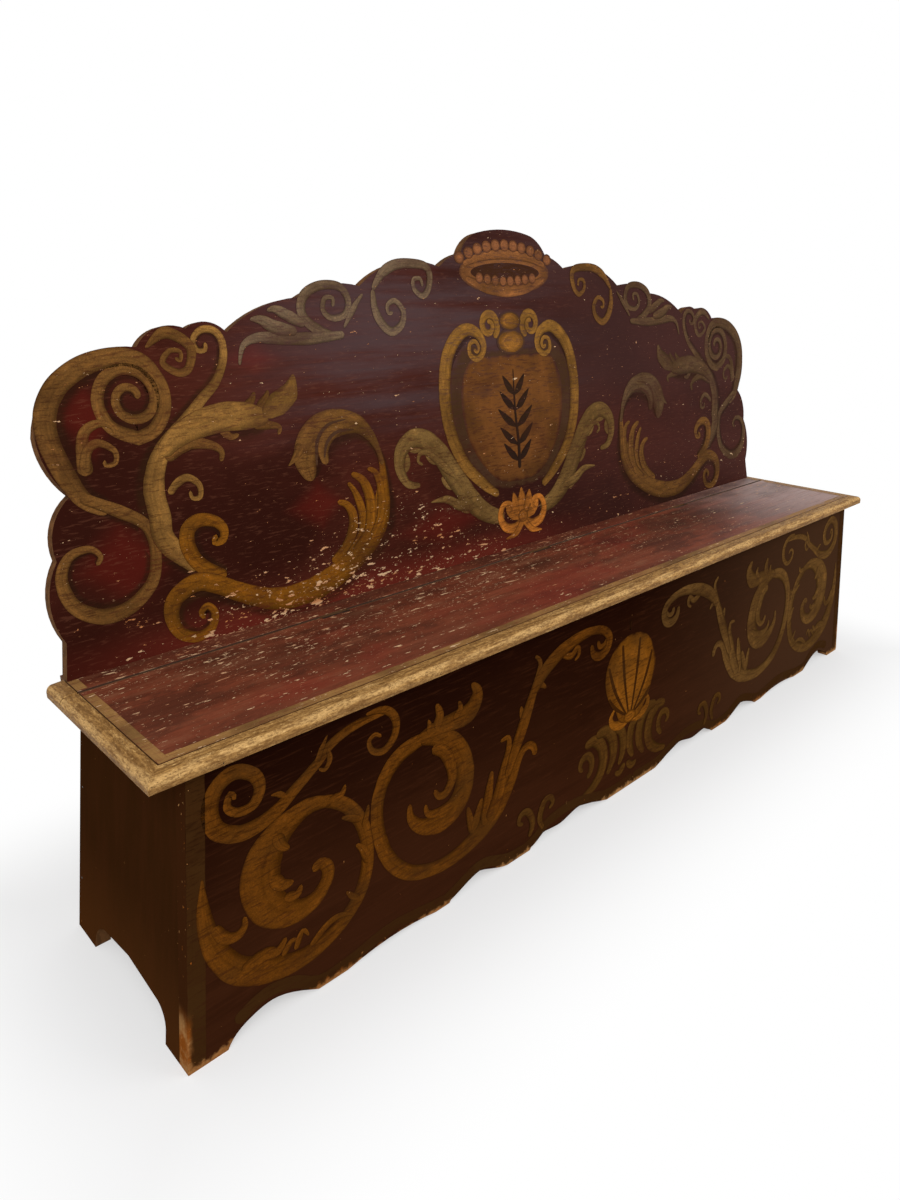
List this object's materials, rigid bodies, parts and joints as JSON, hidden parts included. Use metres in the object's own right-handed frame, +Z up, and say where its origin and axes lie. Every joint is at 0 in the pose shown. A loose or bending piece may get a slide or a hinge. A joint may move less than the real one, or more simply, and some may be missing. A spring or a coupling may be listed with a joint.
{
  "type": "cassapanca",
  "caption": "Long painted wooden chest-bench: a splayed plank chest with a hinged lid seat, a shaped apron and a reclined back with a scalloped outline and scrollwork.",
  "frame": {"origin": "bottom centre of the bench's box, on the floor", "axes": "+X along the bench, to the right as seen from the front, +Y towards the back, +Z up"},
  "size_m": [2.087, 0.4544, 1.1229],
  "materials": {
    "painted_back": "worn dark red paint with ochre scrollwork",
    "painted_front": "worn dark red-brown paint with ochre scrollwork",
    "painted_end": "worn plain brown paint",
    "painted_seat": "worn red-brown paint with a gold-ochre border",
    "gilt_moulding": "rubbed gold-ochre paint",
    "raw_wood": "old bare softwood",
    "iron": "dark forged iron"
  },
  "bodies": {
    "base": {"back_batten_left": "raw_wood", "back_batten_middle": "raw_wood", "back_batten_nails": "iron", "back_batten_right": "raw_wood", "back_plank_lower": "painted_back", "back_plank_upper": "painted_back", "bottom_board_front": "raw_wood", "bottom_board_rear": "raw_wood", "bottom_nails": "iron", "cleat_left": "raw_wood", "cleat_right": "raw_wood", "front_nails": "iron", "front_panel": "painted_front", "hinge_1_pin": "iron", "hinge_1_rail_leaf": "iron", "hinge_2_pin": "iron", "hinge_2_rail_leaf": "iron", "hinge_3_pin": "iron", "hinge_3_rail_leaf": "iron", "hinge_rail": "painted_seat", "hinge_rail_tacks": "iron", "ledger_front": "raw_wood", "ledger_nails": "iron", "ledger_rear": "raw_wood", "left_end": "painted_end", "lock_case": "iron", "lock_tacks": "iron", "rail_moulding_brads": "iron", "rail_moulding_left": "gilt_moulding", "rail_moulding_right": "gilt_moulding", "rail_nails": "iron", "rear_nails": "iron", "rear_panel": "raw_wood", "right_end": "painted_end"},
    "lid": {"lid_plank": "painted_seat", "lid_moulding_front": "gilt_moulding", "lid_moulding_left": "gilt_moulding", "lid_moulding_right": "gilt_moulding", "lid_batten_left": "raw_wood", "lid_batten_middle": "raw_wood", "lid_batten_right": "raw_wood", "lid_batten_nails": "iron", "lid_moulding_brads": "iron", "hinge_1_lid_leaf": "iron", "hinge_2_lid_leaf": "iron", "hinge_3_lid_leaf": "iron", "hinge_lid_tacks": "iron", "lock_staple": "iron", "staple_tacks": "iron"},
    "lock_bolt": {"lock_bolt": "iron"}
  },
  "joints": [
    {"name": "lid_hinge", "type": "hinge", "parent": "base", "child": "lid", "pos_m": [0, 0.06097, 0.4645], "axis": [-1, 0, 0], "range_deg": [0, 106]},
    {"name": "lock_bolt_slide", "type": "slide", "parent": "base", "child": "lock_bolt", "axis": [1, 0, 0], "range_m": [0, 0.018]}
  ]
}
